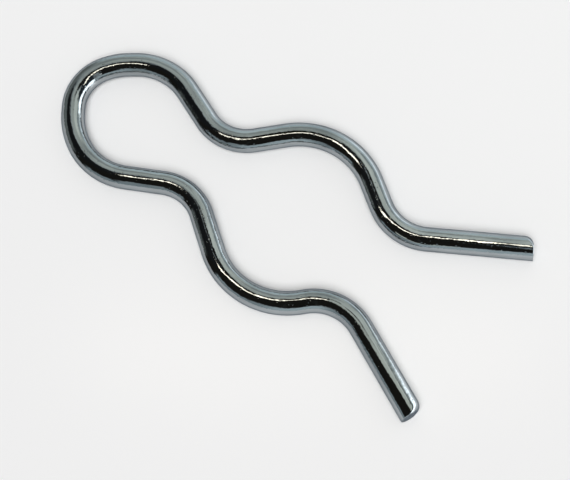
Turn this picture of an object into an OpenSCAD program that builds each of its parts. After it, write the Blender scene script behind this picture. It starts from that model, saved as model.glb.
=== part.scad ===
// Hitch clip bent from one length of round spring wire: an open eye and two humped legs that spring over a shaft.
// The wire's centre line lies flat. Its straight stretches meet at corners, and a bend rounds each corner.
// Places along the clip are measured from the neck, and places aside from the clip's axis, to the centre line.

/* [Wire] */
// Diameter of the wire
wire_d = 3.76; // [3.2:0.02:4.4]
// How much thinner a bend is drawn than a straight stretch, on its radius
draw_down = 0.02; // [0.01:0.01:0.05]

/* [Eye] */
// Distance behind the neck of the back corner
back_along = 26.8; // [25.5:0.1:30]
// Distance of the back corner off the axis
back_aside = 0.85; // [0:0.05:1.5]
// Bend radius at the back
back_r = 7.1; // [4:0.1:7.5]
// Distance behind the neck of each flank's corner
flank_along = 22.2; // [21:0.1:23]
// Distance from the axis of each flank's corner
flank_aside = 6.4; // [5.5:0.1:7.2]
// Bend radius of each flank
flank_r = 11.5; // [6:0.1:12]
// Distance behind the neck of each shoulder's corner
shoulder_along = 15.15; // [13.5:0.05:16]
// Distance from the axis of each shoulder's corner
shoulder_aside = 10.95; // [10:0.05:12.5]
// Bend radius of each shoulder
shoulder_r = 10.3; // [6:0.1:10.6]

/* [Legs] */
// Distance from the axis of each neck corner
neck_aside = 4.15; // [3:0.05:5.5]
// Bend radius at the neck
neck_r = 7.8; // [5:0.1:10]
// Distance in front of the neck of each hump's corner
hump_along = 16; // [14.5:0.1:17.5]
// Distance from the axis of each hump's corner
hump_aside = 17.6; // [15:0.1:18.5]
// Bend radius of each hump
hump_r = 12.4; // [9:0.1:12.5]
// Distance in front of the neck of each pinch corner
pinch_along = 30.15; // [29:0.05:33]
// Distance from the axis of each pinch corner
pinch_aside = 6.05; // [4.5:0.05:7]
// Bend radius at the pinch
pinch_r = 8.4; // [5:0.1:8.7]
// Distance in front of the neck of each tip's end
tip_along = 49.15; // [45.5:0.05:53.5]
// Distance from the axis of each tip's end
tip_aside = 15.9; // [13:0.05:18.5]

/* [Difference between the legs] */
// How far each pinch and tip stands from the mean of the two, outwards on the first leg
leg_lead = 0.7; // [0:0.05:1.2]
// How far each hump stands from the mean of the two, towards the eye on the first leg
hump_lag = 1; // [0:0.05:1.4]

/* [Sheared ends] */
// Angle by which the shear cut is off square
cut_slant = 3; // [0:0.5:6]
// Radius of the corner that the shear rolled over
roll_r = 1.3; // [0.8:0.05:1.6]
// Depth to which the rolled corner runs into the end face
roll_depth = 1.22; // [0.7:0.02:1.24]

/* [Hidden] */

$fn = 96;
wire_r = wire_d / 2;
// Least straight length that is left between two bends, and how far a bend runs on inside a straight
min_straight = 0.25;
bend_run_on = 0.1;

// Corners of one leg from its tip to the eye, on side 1 or -1 of the axis
function leg(side) = [
    [tip_along + side * leg_lead, side * tip_aside],
    [pinch_along + side * leg_lead, side * pinch_aside],
    [hump_along - side * hump_lag, side * hump_aside],
    [0, side * neck_aside],
    [-shoulder_along, side * shoulder_aside],
    [-flank_along, side * flank_aside]
];
function backwards(list) = [for (i = [len(list) - 1:-1:0]) list[i]];

// The wire's way round, from the first leg's tip to the second leg's tip
leg_radii = [0, pinch_r, hump_r, neck_r, shoulder_r, flank_r];
corners = concat(leg(1), [[-back_along, back_aside]], backwards(leg(-1)));
radii = concat(leg_radii, [back_r], backwards(leg_radii));
last = len(corners) - 1;
back = len(leg_radii);

// Unit vector at an angle, and the angle of the stretch that leaves a corner
function unit(angle) = [cos(angle), sin(angle)];
function heading(i) = atan2(corners[i + 1].y - corners[i].y, corners[i + 1].x - corners[i].x);
function span(i) = norm(corners[i + 1] - corners[i]);

// Turn at a corner, positive to the left, and what a bend takes off the stretch on either side of it
function wrapped(angle) = angle - 360 * round(angle / 360);
function turn(i) = wrapped(heading(i) - heading(i - 1));
function wanted_setback(i) = i == 0 || i == last ? 0 : radii[i] * tan(abs(turn(i)) / 2);

// A bend's radius is limited by the two stretches that it joins
function room(i) = min(1, (span(i) - min_straight) / (wanted_setback(i) + wanted_setback(i + 1)));
function bend_r(i) = radii[i] * min(room(i - 1), room(i));
function setback(i) = i == 0 || i == last ? 0 : bend_r(i) * tan(abs(turn(i)) / 2);
function bend_start(i) = corners[i] - setback(i) * unit(heading(i - 1));
function bend_end(i) = corners[i] + setback(i) * unit(heading(i));
function bend_centre(i) = bend_start(i) + bend_r(i) * unit(heading(i - 1) + 90 * sign(turn(i)));

// Each end seen in the plane of the clip: its cut face's middle, its direction outwards,
// the corner that the shear left sharp and the middle of the corner's roll on the other side
function end_point(side) = side > 0 ? corners[0] : corners[last];
function end_angle(side) = side > 0 ? heading(0) + 180 : heading(last - 1);
function in_end(side, out, left) =
    end_point(side) + out * unit(end_angle(side)) + left * unit(end_angle(side) + 90);
function sharp_corner(side) = in_end(side, wire_r * tan(cut_slant), -wire_r);
function roll_middle(side) =
    end_point(side) + (wire_r - roll_depth) * unit(end_angle(side) + 90 + cut_slant)
        - roll_r * unit(end_angle(side) + cut_slant);

// Centre of the clip's outline, which the frame's origin lies under
box_x = (bend_centre(back).x - bend_r(back) - wire_r + sharp_corner(1).x) / 2;
box_y = (roll_middle(1).y + roll_r + sharp_corner(-1).y) / 2;

// The stretch that leaves corner i, between the bends on either side of it
module straight(i) {
    translate([bend_end(i).x, bend_end(i).y, 0])
        rotate([0, 90, heading(i)])
            cylinder(r = wire_r, h = span(i) - setback(i) - setback(i + 1));
}

// The bend at corner i, which runs on into the straight at each end so that they are one solid
module bend(i) {
    run_on = asin(bend_run_on / bend_r(i));
    first = heading(i - 1) - 90 * sign(turn(i)) + min(turn(i), 0) - run_on;
    translate([bend_centre(i).x, bend_centre(i).y, 0])
        rotate([0, 0, first])
            rotate_extrude(angle = abs(turn(i)) + 2 * run_on)
                translate([bend_r(i), 0])
                    circle(r = wire_r - draw_down);
}

// What the shear takes off a tip: a slanted slice, and the rolled corner on the left of it
module shear_waste(side) {
    reach = 2 * wire_d;
    roll_aside = wire_r - roll_depth;
    translate([end_point(side).x, end_point(side).y, 0])
        rotate([0, 0, end_angle(side) + cut_slant]) {
            translate([0, -reach, -reach])
                cube([reach, 2 * reach, 2 * reach]);
            difference() {
                translate([-roll_r, roll_aside, -reach])
                    cube([roll_r + reach, reach, 2 * reach]);
                translate([-roll_r, roll_aside, -2 * reach])
                    cylinder(r = roll_r, h = 4 * reach);
            }
        }
}

// A tip's straight runs a little past its end, and the shear cuts it there
module tip(side) {
    from = side > 0 ? bend_start(1) : bend_end(last - 1);
    difference() {
        translate([from.x, from.y, 0])
            rotate([0, 90, end_angle(side)])
                cylinder(r = wire_r, h = norm(end_point(side) - from) + wire_r);
        shear_waste(side);
    }
}

module clip_wire() {
    color("silver")
        translate([-box_x, -box_y, wire_r]) {
            for (side = [1, -1])
                tip(side);
            for (i = [1:last - 2])
                straight(i);
            for (i = [1:last - 1])
                bend(i);
        }
}

clip_wire();
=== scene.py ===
"""Hitch clip in bright zinc-plated spring wire, lying flat on a pale table under plain studio cards."""

from math import pi, radians, tan

import bmesh
import bpy
from mathutils import Matrix, Vector


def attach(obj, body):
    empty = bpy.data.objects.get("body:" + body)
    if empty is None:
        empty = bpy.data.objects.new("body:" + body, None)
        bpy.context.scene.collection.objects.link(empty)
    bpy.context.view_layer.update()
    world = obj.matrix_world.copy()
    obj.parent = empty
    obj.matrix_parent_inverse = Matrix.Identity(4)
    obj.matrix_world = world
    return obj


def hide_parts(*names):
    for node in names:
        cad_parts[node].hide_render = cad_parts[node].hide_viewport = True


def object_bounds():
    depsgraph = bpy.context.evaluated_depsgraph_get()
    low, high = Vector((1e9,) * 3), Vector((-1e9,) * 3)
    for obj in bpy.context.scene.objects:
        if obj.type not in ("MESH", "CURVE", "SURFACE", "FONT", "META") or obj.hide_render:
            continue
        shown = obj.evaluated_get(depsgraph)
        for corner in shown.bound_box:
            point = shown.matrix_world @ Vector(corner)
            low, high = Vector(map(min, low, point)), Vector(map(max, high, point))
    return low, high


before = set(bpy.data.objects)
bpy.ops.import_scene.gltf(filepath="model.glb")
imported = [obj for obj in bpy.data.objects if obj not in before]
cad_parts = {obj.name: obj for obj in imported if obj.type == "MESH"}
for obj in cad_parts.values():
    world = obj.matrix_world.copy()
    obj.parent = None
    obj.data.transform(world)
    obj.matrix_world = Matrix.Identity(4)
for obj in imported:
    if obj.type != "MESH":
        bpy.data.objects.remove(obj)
cad_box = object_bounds()
MM = 0.001

# The wire's centre line, as the part's source gives it: places along the clip are measured from the neck,
# and places aside from the clip's axis, in millimetres
WIRE_D = 3.76
BACK = (-26.8, 0.85, 7.1)                  # along, aside, bend radius
FLANK = (-22.2, 6.4, 11.5)
SHOULDER = (-15.15, 10.95, 10.3)
NECK = (0.0, 4.15, 7.8)
HUMP = (16.0, 17.6, 12.4)
PINCH = (30.15, 6.05, 8.4)
TIP = (49.15, 15.9, 0.0)
# How far each leg stands from the mean of the two: on the first leg, pinch and tip lie further from the eye,
# and the hump lies nearer to it
LEG_LEAD = 0.7
HUMP_LAG = 1.0

# The shear's work on each tip
CUT_SLANT = 3.0                            # degrees off square
BROKEN_EDGE = 0.10                         # how far the plated edge of the cut is rounded
ROLLED_REACH = 1.25                        # how far back the rolled side starts to drop
ROLLED_DEPTH = 1.05                        # how far the roll runs into the end face
TIP_ZONE = 4.0                             # length of wire that is fitted to the cut
ROLL_FROM = -0.35                          # where the roll starts, from -1 on the right to 1 on the left
FACE_FROM = 0.01                           # share of an end's radius that counts as its plated edge
TINY = 1e-6                                # in metres, smaller than any size of the clip
MERGED = 1e-7                              # metres between points that are one

# The photograph's camera in the clip's frame
CAMERA_AT = Vector((66.095, -57.112, 252.051)) * MM
CAMERA_RIGHT = Vector((0.82443, 0.56028, -0.07998))
CAMERA_UP = Vector((-0.51648, 0.80259, 0.29849))
FOCAL_PX = 1700.0
PHOTO_WIDTH_PX = 570
SENSOR_MM = 36.0
NEAREST_SEEN = 0.01                        # metres
STUDIO_TURN = radians(34.2)                # the picture's right, seen from above, against the clip's +X


class Tree:
    """A node tree with short ways to add maths to it."""

    def __init__(self, tree):
        self.tree = tree

    def add(self, kind, inputs=None, **props):
        node = self.tree.nodes.new(kind)
        for name, value in props.items():
            setattr(node, name, value)
        for name, value in (inputs or {}).items():
            self.feed(node.inputs[name], value)
        return node

    def feed(self, socket, value):
        if isinstance(value, bpy.types.NodeSocket):
            self.tree.links.new(value, socket)
        else:
            socket.default_value = value

    def math(self, operation, *values):
        node = self.tree.nodes.new("ShaderNodeMath")
        node.operation = operation
        for i, value in enumerate(values):
            self.feed(node.inputs[i], value)
        return node.outputs[0]

    def vector(self, operation, *values):
        node = self.tree.nodes.new("ShaderNodeVectorMath")
        node.operation = operation
        for i, value in enumerate(values):
            self.feed(node.inputs["Scale" if operation == "SCALE" and i == 1 else i], value)
        return node.outputs["Value" if operation in ("DOT_PRODUCT", "LENGTH") else "Vector"]

    def step(self, value, low, high, low_to=0.0, high_to=1.0):
        """Smooth passage from low_to to high_to while value goes from low to high."""
        node = self.add("ShaderNodeMapRange", interpolation_type="SMOOTHSTEP")
        sockets = ("Value", "From Min", "From Max", "To Min", "To Max")
        for name, given in zip(sockets, (value, low, high, low_to, high_to)):
            self.feed(node.inputs[name], given)
        return node.outputs["Result"]

    def mix_colour(self, factor, first, second):
        """Mix of two colours, from the first at 0 to the second at 1."""
        node = self.add("ShaderNodeMix", data_type="RGBA")
        self.feed(node.inputs["Factor"], factor)
        self.feed(node.inputs[6], first)
        self.feed(node.inputs[7], second)
        return node.outputs[2]


def placed(name, data):
    """A new object in the scene."""
    thing = bpy.data.objects.new(name, data)
    bpy.context.scene.collection.objects.link(thing)
    return thing


def empty_material(name):
    """A new material without nodes, and its tree."""
    material = bpy.data.materials.new(name)
    material.use_nodes = True
    material.node_tree.nodes.clear()
    return material, Tree(material.node_tree)


def path_corners():
    """Corners of the wire's centre line from the first leg's tip to the second's, with their bend radii."""
    def leg(side):
        return [
            (TIP[0] + side * LEG_LEAD, side * TIP[1], 0.0),
            (PINCH[0] + side * LEG_LEAD, side * PINCH[1], PINCH[2]),
            (HUMP[0] - side * HUMP_LAG, side * HUMP[1], HUMP[2]),
            (NECK[0], side * NECK[1], NECK[2]),
            (SHOULDER[0], side * SHOULDER[1], SHOULDER[2]),
            (FLANK[0], side * FLANK[1], FLANK[2]),
        ]
    return leg(1) + [BACK] + leg(-1)[::-1]


def path_stations():
    """The corners with more stations at each tip: (place, bend radius, tip, inset, side, turn, inner).

    tip is -1 at the first tip, 1 at the last and 0 between. inset is how far a ring lies from the cut.
    side goes from 0 at the cut to 1 where the wire is plain again, turn from 0 to a right angle round the
    edge, and inner from 1 at the edge to 0 in the middle of the end face.
    """
    corners = [(Vector((x, y, 0.0)), r) for x, y, r in path_corners()]
    side_steps, turn_steps, face_steps = 16, 12, 8
    spare = 0.05        # what keeps the stations of face and edge apart until they are placed
    growth = 1.5        # how fast the rings widen away from the cut
    rings = []
    for k in range(face_steps + 1):
        rings.append((0.0, pi / 2, k / face_steps))
    for k in range(1, turn_steps + 1):
        rings.append((0.0, pi / 2 * (1 - k / turn_steps), 1.0))
    for k in range(1, side_steps + 1):
        rings.append(((k / side_steps) ** growth, 0.0, 1.0))
    inset = [spare * k for k in range(face_steps + turn_steps + 1)]
    start = inset[-1]
    inset += [start + (TIP_ZONE - start) * r[0] for r in rings[face_steps + turn_steps + 1:]]

    def tip(end, inner, sign):
        inward = (inner - end).normalized()
        return [(end + inward * x, 0.0, sign, x, s, t, m) for x, (s, t, m) in zip(inset, rings)]

    first = tip(corners[0][0], corners[1][0], -1.0)
    last = tip(corners[-1][0], corners[-2][0], 1.0)[::-1]
    middle = [(p, r, 0.0, 0.0, 1.0, 0.0, 1.0) for p, r in corners[1:-1]]
    return first + middle + last


def wire_tree():
    """Geometry Nodes: fillets the corners, sweeps the wire and shears both tips."""
    tree = bpy.data.node_groups.new("Bend and shear wire", "GeometryNodeTree")
    sockets = tree.interface
    sockets.new_socket("Path", in_out="INPUT", socket_type="NodeSocketGeometry")
    sizes = {
        "Wire Radius": WIRE_D / 2 * MM, "Cut Slant": tan(radians(CUT_SLANT)), "Broken Edge": BROKEN_EDGE * MM,
        "Rolled Reach": ROLLED_REACH * MM, "Rolled Depth": ROLLED_DEPTH * MM, "Zone": TIP_ZONE * MM,
    }
    for name, value in sizes.items():
        sockets.new_socket(name, in_out="INPUT", socket_type="NodeSocketFloat").default_value = value
    for name, value in {"Steps Round a Bend": 44, "Steps Round the Wire": 96}.items():
        sockets.new_socket(name, in_out="INPUT", socket_type="NodeSocketInt").default_value = value
    for name in ("Plated Wire", "Sheared Face"):
        sockets.new_socket(name, in_out="INPUT", socket_type="NodeSocketMaterial")
    sockets.new_socket("Wire", in_out="OUTPUT", socket_type="NodeSocketGeometry")
    t = Tree(tree)
    given = t.add("NodeGroupInput").outputs

    def named(name, kind="FLOAT"):
        return t.add("GeometryNodeInputNamedAttribute", {"Name": name}, data_type=kind).outputs["Attribute"]

    def store(geometry, name, value, kind="FLOAT"):
        node = t.add("GeometryNodeStoreNamedAttribute", data_type=kind, domain="POINT")
        t.feed(node.inputs["Geometry"], geometry)
        node.inputs["Name"].default_value = name
        t.feed(node.inputs["Value"], value)
        return node.outputs["Geometry"]

    curve = t.add("GeometryNodeMeshToCurve", {"Mesh": given["Path"]}).outputs["Curve"]
    is_bend = t.math("GREATER_THAN", named("bend_radius"), TINY)
    steps = t.add("GeometryNodeSwitch", {
        "False": 1, "True": given["Steps Round a Bend"], "Switch": is_bend,
    }, input_type="INT").outputs[0]
    curve = t.add("GeometryNodeFilletCurve", {
        "Curve": curve, "Radius": named("bend_radius"), "Count": steps,
    }, mode="POLY").outputs["Curve"]
    spline = t.add("GeometryNodeSplineParameter")
    curve = store(curve, "heading", t.add("GeometryNodeInputTangent").outputs["Tangent"], "FLOAT_VECTOR")
    curve = store(curve, "middle", t.add("GeometryNodeInputPosition").outputs["Position"], "FLOAT_VECTOR")
    curve = store(curve, "run", spline.outputs["Length"])
    round_wire = t.add("GeometryNodeCurvePrimitiveCircle", {
        "Resolution": given["Steps Round the Wire"], "Radius": given["Wire Radius"],
    }).outputs["Curve"]
    mesh = t.add("GeometryNodeCurveToMesh", {"Curve": curve, "Profile Curve": round_wire}).outputs["Mesh"]

    # Where a point lies on its ring: aside to the left of the way outwards, and up
    radius, tip = given["Wire Radius"], named("tip")
    heading, middle = named("heading", "FLOAT_VECTOR"), named("middle", "FLOAT_VECTOR")
    off = t.vector("SUBTRACT", t.add("GeometryNodeInputPosition").outputs["Position"], middle)
    left_of_run = t.vector("CROSS_PRODUCT", (0.0, 0.0, 1.0), heading)
    aside = t.math("DIVIDE", t.vector("DOT_PRODUCT", off, left_of_run), radius)
    upward = t.math("DIVIDE", t.add("ShaderNodeSeparateXYZ", {0: off}).outputs["Z"], radius)
    left = t.math("MULTIPLY", aside, tip)
    # Share of the roll: all of it on the left, none past the top of the wire
    roll = t.step(left, ROLL_FROM, 1.0)
    reach = t.math("ADD", given["Broken Edge"], t.math("MULTIPLY", roll, given["Rolled Reach"]))
    depth = t.math("ADD", given["Broken Edge"], t.math("MULTIPLY", roll, given["Rolled Depth"]))
    turn, inner, side = named("turn"), named("inner"), named("side")
    depth_share = t.math("DIVIDE", depth, radius)
    # Ring's size: it draws in round the edge, then over the face to the middle
    drawn_in = t.math("MULTIPLY", depth_share, t.math("SUBTRACT", 1.0, t.math("COSINE", turn)))
    ring = t.math("MULTIPLY", t.math("SUBTRACT", 1.0, drawn_in), inner)
    # Ring's place inwards from the cut
    round_edge = t.math("MULTIPLY", reach, t.math("SUBTRACT", 1.0, t.math("SINE", turn)))
    on_side = t.math("MULTIPLY", side, t.math("SUBTRACT", given["Zone"], reach))
    slant = t.math("MULTIPLY", t.math("MULTIPLY", t.math("MULTIPLY", left, radius), ring), given["Cut Slant"])
    slant = t.math("MULTIPLY", slant, t.math("SUBTRACT", 1.0, side))
    wanted = t.math("ADD", t.math("ADD", round_edge, on_side), slant)
    shift = t.math("MULTIPLY", t.math("SUBTRACT", named("inset"), wanted), tip)
    place = t.vector("ADD", middle, t.vector("SCALE", off, ring))
    place = t.vector("ADD", place, t.vector("SCALE", heading, shift))
    laid = t.add("ShaderNodeCombineXYZ", {
        0: t.math("MULTIPLY", aside, ring), 1: t.math("MULTIPLY", upward, ring), 2: named("run"),
    }).outputs[0]
    mesh = store(mesh, "laid_straight", laid, "FLOAT_VECTOR")
    mesh = store(mesh, "end_face", t.math("SUBTRACT", 1.0, inner))
    in_tip = t.math("GREATER_THAN", t.math("ABSOLUTE", tip), 0.5)
    on_face = t.math("GREATER_THAN", named("end_face"), FACE_FROM)
    for kind, inputs in (
        ("GeometryNodeSetPosition", {"Position": place, "Selection": in_tip}),
        ("GeometryNodeMergeByDistance", {"Distance": MERGED}),
        ("GeometryNodeRemoveAttribute", {"Name": "heading"}),
        ("GeometryNodeRemoveAttribute", {"Name": "middle"}),
        ("GeometryNodeSetShadeSmooth", {}),
        ("GeometryNodeRealizeInstances", {}),
        ("GeometryNodeSetMaterial", {"Material": given["Plated Wire"]}),
        ("GeometryNodeSetMaterial", {"Material": given["Sheared Face"], "Selection": on_face}),
    ):
        mesh = t.add(kind, {"Geometry": mesh, **inputs}).outputs["Geometry"]
    t.add("NodeGroupOutput", {"Wire": mesh})
    return tree


def box_middle(points, i):
    """Middle of the points' box along axis i."""
    return (min(p[i] for p in points) + max(p[i] for p in points)) / 2


def make_wire(materials):
    """The clip's wire as one plain mesh, with its plated wire and its sheared faces."""
    stations = path_stations()
    path = bpy.data.meshes.new("wire path")
    path.from_pydata([s[0] * MM for s in stations], [(i, i + 1) for i in range(len(stations) - 1)], [])
    for k, name in enumerate(("bend_radius", "tip", "inset", "side", "turn", "inner"), 1):
        unit = MM if name in ("bend_radius", "inset") else 1.0
        path.attributes.new(name, "FLOAT", "POINT").data.foreach_set("value", [s[k] * unit for s in stations])
    maker = placed("wire maker", path)
    modifier = maker.modifiers.new("wire", "NODES")
    modifier.node_group = wire_tree()
    for item in modifier.node_group.interface.items_tree:
        if item.item_type == "SOCKET" and item.in_out == "INPUT" and item.name in materials:
            modifier[item.identifier] = materials[item.name]
    bpy.context.view_layer.update()
    depsgraph = bpy.context.evaluated_depsgraph_get()
    mesh = bpy.data.meshes.new_from_object(maker.evaluated_get(depsgraph), depsgraph=depsgraph)
    maker.modifiers.clear()
    bpy.data.objects.remove(maker)
    wire = placed("plated_wire", mesh)
    # The source centres the clip's outline on the frame's origin, so the mesh goes where the solid's box is
    points = [v.co for v in mesh.vertices]
    mesh.transform(Matrix.Translation([box_middle(cad_box, i) - box_middle(points, i) for i in range(3)]))
    return wire


# The plated surface's patterns: stretch along the wire, scale, detail and roughness
PATTERNS = {
    "waves": (0.3, 0.55, 1.0, 0.5),
    "lines": (0.03, 3.4, 2.0, 0.55),
    "grain": (0.6, 3.6, 1.0, 0.5),
    "clouds": (0.4, 0.35, 2.0, 0.5),
    "peel": (0.45, 2.1, 1.0, 0.5),
}
# Their heights in micrometres, and the depth of the pits
HEIGHTS = {"waves": 80.0, "peel": 12.0, "grain": 11.0, "lines": 9.0, "pits": 18.0}
MICROMETRE = 1e-6
# Pits are small cells: their scale, and how far from a cell's middle the pit's wall starts and ends
PIT_SCALE = 2.6
PIT_WALL = (0.16, 0.34)
# They gather where the clouds are thick: thin cloud, thick cloud, and the share of pits in each
PIT_GATHERING = (0.46, 0.66, 0.35, 1.8)
# Between which values the draw lines and the clouds turn dull, and what each adds to the dullness
DULL_LINES = (0.3, 0.75)
DULL_CLOUDS = (0.35, 0.7)
DULL_SHARE = 0.5
GRAZING_TINT = (0.22, 0.25, 0.29, 1.0)
# Each finish: its name, its bright and dull colours, and its own values for the shared surface
FINISHES = {
    "Plated Wire": ("bright_zinc_plate", (0.43, 0.46, 0.475), (0.29, 0.315, 0.33), {
        "Waviness": 1.0, "Draw Lines": 1.0, "Pits": 0.15, "Smoothest": 0.04, "Roughest": 0.11,
    }),
    "Sheared Face": ("zinc_plate_on_sheared_face", (0.42, 0.445, 0.455), (0.32, 0.345, 0.355), {
        "Waviness": 0.3, "Draw Lines": 3.0, "Pits": 0.5, "Smoothest": 0.22, "Roughest": 0.38,
    }),
}


def drawn_surface():
    """Group: what drawing and plating leave on the wire, along its own length."""
    group = bpy.data.node_groups.new("Drawn and plated surface", "ShaderNodeTree")
    defaults = {"Waviness": 1.0, "Draw Lines": 1.0, "Pits": 0.2, "Smoothest": 0.1, "Roughest": 0.2}
    for name, value in defaults.items():
        group.interface.new_socket(name, in_out="INPUT", socket_type="NodeSocketFloat").default_value = value
    for name in ("Dullness", "Roughness", "Height"):
        group.interface.new_socket(name, in_out="OUTPUT", socket_type="NodeSocketFloat")
    t = Tree(group)
    given = t.add("NodeGroupInput").outputs
    laid = t.add("ShaderNodeAttribute", attribute_name="laid_straight").outputs["Vector"]
    place = t.vector("MULTIPLY", laid, (WIRE_D / 2, WIRE_D / 2, 1 / MM))      # in millimetres

    def noise(stretch, scale, detail, rough):
        stretched = t.vector("MULTIPLY", place, (1.0, 1.0, stretch))
        return t.add("ShaderNodeTexNoise", {
            "Vector": stretched, "Scale": scale, "Detail": detail, "Roughness": rough,
        }).outputs["Fac"]

    def raised(value, name):
        return t.math("MULTIPLY", value, HEIGHTS[name])

    pattern = {name: noise(*values) for name, values in PATTERNS.items()}
    cells = t.add("ShaderNodeTexVoronoi", {"Vector": place, "Scale": PIT_SCALE, "Randomness": 1.0}).outputs
    chosen = t.add("ShaderNodeSeparateColor", {"Color": cells["Color"]}).outputs[0]
    share = t.math("MULTIPLY", given["Pits"], t.step(pattern["clouds"], *PIT_GATHERING))
    is_pit = t.math("LESS_THAN", chosen, share)
    pit = t.math("MULTIPLY", is_pit, t.step(cells["Distance"], *PIT_WALL, 1.0, 0.0))
    rolling = t.math("ADD", raised(pattern["waves"], "waves"), raised(pattern["peel"], "peel"))
    rolling = t.math("ADD", rolling, raised(pattern["grain"], "grain"))
    drawn = raised(t.math("MULTIPLY", pattern["lines"], given["Draw Lines"]), "lines")
    height = t.math("ADD", t.math("MULTIPLY", rolling, given["Waviness"]), drawn)
    height = t.math("SUBTRACT", height, raised(pit, "pits"))
    dull_lines = t.math("MULTIPLY", t.step(pattern["lines"], *DULL_LINES), DULL_SHARE)
    dull_clouds = t.math("MULTIPLY", t.step(pattern["clouds"], *DULL_CLOUDS), DULL_SHARE)
    dull = t.math("MAXIMUM", t.math("ADD", dull_lines, dull_clouds), pit)
    roughness = t.add("ShaderNodeMapRange", {
        "Value": dull, "To Min": given["Smoothest"], "To Max": given["Roughest"],
    }).outputs["Result"]
    t.add("NodeGroupOutput", {"Dullness": dull, "Height": height, "Roughness": roughness})
    return group


def zinc_finish(surface, name, bright, dull, values):
    """A zinc finish: its bright and dull colours, and its own values for the shared surface."""
    material, t = empty_material(name)
    wear = t.add("ShaderNodeGroup", values, node_tree=surface).outputs
    colour = t.mix_colour(wear["Dullness"], (*bright, 1.0), (*dull, 1.0))
    bump = t.add("ShaderNodeBump", {"Height": wear["Height"], "Distance": MICROMETRE, "Strength": 1.0})
    shader = t.add("ShaderNodeBsdfPrincipled", {
        "Base Color": colour, "Metallic": 1.0, "Specular Tint": GRAZING_TINT,
        "Roughness": wear["Roughness"], "Normal": bump.outputs["Normal"],
    })
    t.add("ShaderNodeOutputMaterial", {"Surface": shader.outputs[0]})
    return material


def wire_finishes():
    surface = drawn_surface()
    return {part: zinc_finish(surface, *finish) for part, finish in FINISHES.items()}


# What hangs round the clip in the studio, in the order in which one covers another. Bearings are degrees from
# the picture's right, anticlockwise seen from above, and heights are degrees down from straight overhead.
# (bearing, half width, its softness, from, to, softness, colour)
STUDIO_WALL = (0.34, 0.38, 0.39)
STUDIO_CARDS = {
    "pale canopy": (64, 48, 4, 20, 180, 2, (0.86, 0.91, 0.83)),
    "dimmer canopy behind": (100, 26, 10, 19, 72, 5, (0.60, 0.64, 0.59)),
    "grey fold in the canopy behind": (98, 30, 10, 45, 60, 4, (0.40, 0.44, 0.43)),
    "bluer foot of the canopy": (78, 44, 8, 66, 180, 5, (0.74, 0.86, 0.88)),
    "grey seam in the canopy": (38, 22, 8, 53, 68, 4, (0.38, 0.43, 0.43)),
    "dark edge of the canopy": (27, 8, 4, 37, 47, 3, (0.16, 0.18, 0.18)),
    "window": (44, 20, 8, 80, 104, 5, (1.6, 1.72, 1.80)),
    "dim wall on the left": (160, 42, 8, 60, 180, 6, (0.20, 0.22, 0.21)),
    "dim wall in front": (228, 34, 12, 62, 180, 5, (0.34, 0.40, 0.42)),
    "lit wall in front": (280, 28, 12, 61, 100, 4, (0.58, 0.67, 0.70)),
    "black cloth overhead": (0, 190, 1, -5, 17.5, 1.5, (0.015, 0.014, 0.012)),
    "black cloth overhead behind": (98, 22, 6, 5, 22.5, 1.5, (0.015, 0.014, 0.012)),
    "black cloth in front": (277, 17, 5, 5, 65, 2.5, (0.016, 0.015, 0.013)),
    "shorter black cloth in front": (242, 22, 5, 5, 58, 2.5, (0.016, 0.015, 0.013)),
    "black cloth at the front left": (206, 28, 5, 5, 69, 2.5, (0.016, 0.015, 0.013)),
    "low black cloth at the front left": (192, 9, 3, 60, 88, 2, (0.016, 0.015, 0.013)),
    "black cloth on the left": (160, 26, 6, 10, 62, 4, (0.015, 0.016, 0.017)),
    "black cloth on the right": (-12, 38, 5, 12, 58, 3, (0.030, 0.040, 0.046)),
    "white card": (-8, 38, 5, 61, 120, 3, (3.1, 3.3, 3.4)),
    "small lamp": (-68, 1.6, 0.5, 49, 52, 0.5, (3.0, 3.0, 3.0)),
}
# Corners across and up the picture, and height, in millimetres
STRIP_LIGHT = ((-52, 0), (-50, 10), (47, 8), (47, -3), 110)
FLAP = ((8.2, -14.7), (9.9, -12.4), (27.2, -31), (23.2, -32.6), 12)
STRIP_COLOUR = (4.2, 3.8, 3.1)
FLAP_COLOUR = (0.72, 0.76, 0.68)
TENT_RADIUS = 0.22                         # metres
TENT_SEGMENTS = (64, 32)                   # round it, and from top to bottom
LAMP_STRENGTH = 2.15
LAMP_SPREAD = radians(36)
LAMP_AIM = Vector((0.0, 0.42, -1.0))       # across and up the picture, and up from the table
SOFT_SURROUNDINGS = 0.36                   # strength with which the white surroundings light the table
TABLE_HALF = 3.0                           # metres
TABLE_COLOUR = (0.9, 0.9, 0.9, 1)
TABLE_ROUGHNESS = 0.3


def studio_matrix():
    return Matrix.Rotation(STUDIO_TURN, 4, "Z")


def stage_mesh(name, points, faces, material, turned=True):
    mesh = bpy.data.meshes.new(name)
    mesh.from_pydata([studio_matrix() @ Vector(p) if turned else p for p in points], [], faces)
    mesh.materials.append(material)
    thing = placed(name, mesh)
    return thing


def glow(name, colour):
    """A plain light card's material. Its colour is three values, or a function that adds nodes for it."""
    material, t = empty_material(name)
    light = t.add("ShaderNodeEmission", {"Color": colour(t) if callable(colour) else (*colour, 1.0)})
    t.add("ShaderNodeOutputMaterial", {"Surface": light.outputs[0]})
    return material


def hung_card(name, place, colour):
    *corners, height = place
    points = [(x * MM, y * MM, height * MM) for x, y in corners]
    return stage_mesh(name, points, [(0, 1, 2, 3)], glow(name, colour))


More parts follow.
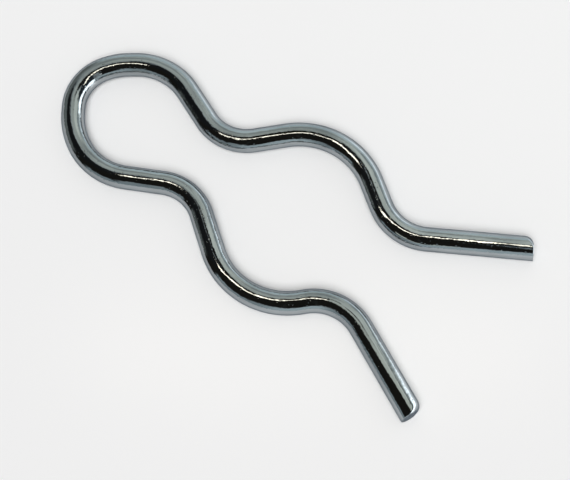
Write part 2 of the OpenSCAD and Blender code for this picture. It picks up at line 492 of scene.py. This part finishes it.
def studio_colour(t):
    """Colour of the studio by where it is seen from the clip."""
    at = t.vector("NORMALIZE", t.add("ShaderNodeTexCoord").outputs["Object"])
    turned = t.add("ShaderNodeVectorRotate", {"Vector": at, "Angle": -STUDIO_TURN}, rotation_type="Z_AXIS")
    split = t.add("ShaderNodeSeparateXYZ", {0: turned.outputs["Vector"]}).outputs
    bearing = t.math("ARCTAN2", split["Y"], split["X"])
    down = t.math("DEGREES", t.math("ARCCOSINE", split["Z"]))
    colour = (*STUDIO_WALL, 1.0)
    for mid, half, edge, high, low, soft, paint in STUDIO_CARDS.values():
        away = t.math("COSINE", t.math("SUBTRACT", bearing, radians(mid)))
        off = t.math("DEGREES", t.math("ARCCOSINE", away))
        mask = t.step(off, half - edge, half + edge, 1.0, 0.0)
        mask = t.math("MULTIPLY", mask, t.step(down, high - soft, high + soft))
        mask = t.math("MULTIPLY", mask, t.step(down, low - soft, low + soft, 1.0, 0.0))
        colour = t.mix_colour(mask, colour, (*paint, 1.0))
    return colour


def make_studio():
    # The tent round the clip, which the camera looks through
    tent = bpy.data.meshes.new("tent")
    shape = bmesh.new()
    bmesh.ops.create_uvsphere(shape, u_segments=TENT_SEGMENTS[0], v_segments=TENT_SEGMENTS[1],
                              radius=TENT_RADIUS)
    shape.to_mesh(tent)
    shape.free()
    tent.materials.append(glow("tent cloth", studio_colour))
    dome = placed("tent", tent)
    strip = hung_card("strip light", STRIP_LIGHT, STRIP_COLOUR)
    flap = hung_card("pale flap over the lower leg", FLAP, FLAP_COLOUR)
    for thing in (dome, strip, flap):
        thing.visible_camera = False
        thing.visible_shadow = False
        thing.visible_diffuse = False
    # A soft lamp that lights the table from close beside the camera's direction
    lamp = bpy.data.lights.new("soft lamp", "SUN")
    lamp.energy = LAMP_STRENGTH
    lamp.angle = LAMP_SPREAD
    soft = placed("soft lamp", lamp)
    aim = studio_matrix().to_3x3() @ LAMP_AIM
    soft.rotation_euler = aim.to_track_quat("-Z", "Y").to_euler()
    soft.visible_glossy = False
    # White surroundings as they are seen and mirrored, which light the table more softly
    world = bpy.data.worlds.new("white surroundings")
    bpy.context.scene.world = world
    world.use_nodes = True
    t = Tree(world.node_tree)
    path = t.add("ShaderNodeLightPath").outputs
    mirrored = t.math("MAXIMUM", path["Is Glossy Ray"], path["Is Transmission Ray"])
    seen = t.math("MAXIMUM", path["Is Camera Ray"], mirrored)
    background = world.node_tree.nodes["Background"]
    background.inputs["Color"].default_value = (1, 1, 1, 1)
    t.feed(background.inputs["Strength"], t.step(seen, 0.0, 1.0, SOFT_SURROUNDINGS, 1.0))


def make_table():
    material = bpy.data.materials.new("pale table")
    material.use_nodes = True
    shader = material.node_tree.nodes["Principled BSDF"]
    shader.inputs["Base Color"].default_value = TABLE_COLOUR
    shader.inputs["Roughness"].default_value = TABLE_ROUGHNESS
    corners = [(x * TABLE_HALF, y * TABLE_HALF, 0) for x, y in ((-1, -1), (1, -1), (1, 1), (-1, 1))]
    stage_mesh("table", corners, [(0, 1, 2, 3)], material, turned=False)


def make_camera():
    data = bpy.data.cameras.new("camera")
    data.sensor_width = SENSOR_MM
    data.lens = FOCAL_PX / PHOTO_WIDTH_PX * data.sensor_width
    data.clip_start = NEAREST_SEEN
    camera = placed("camera", data)
    turn = Matrix((CAMERA_RIGHT, CAMERA_UP, CAMERA_RIGHT.cross(CAMERA_UP))).transposed()
    camera.matrix_world = Matrix.Translation(CAMERA_AT) @ turn.to_4x4()
    bpy.context.scene.camera = camera


make_camera()
wire = make_wire(wire_finishes())
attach(wire, "root")
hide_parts("clip_wire")
make_table()
make_studio()
bpy.context.scene.view_settings.view_transform = "Standard"
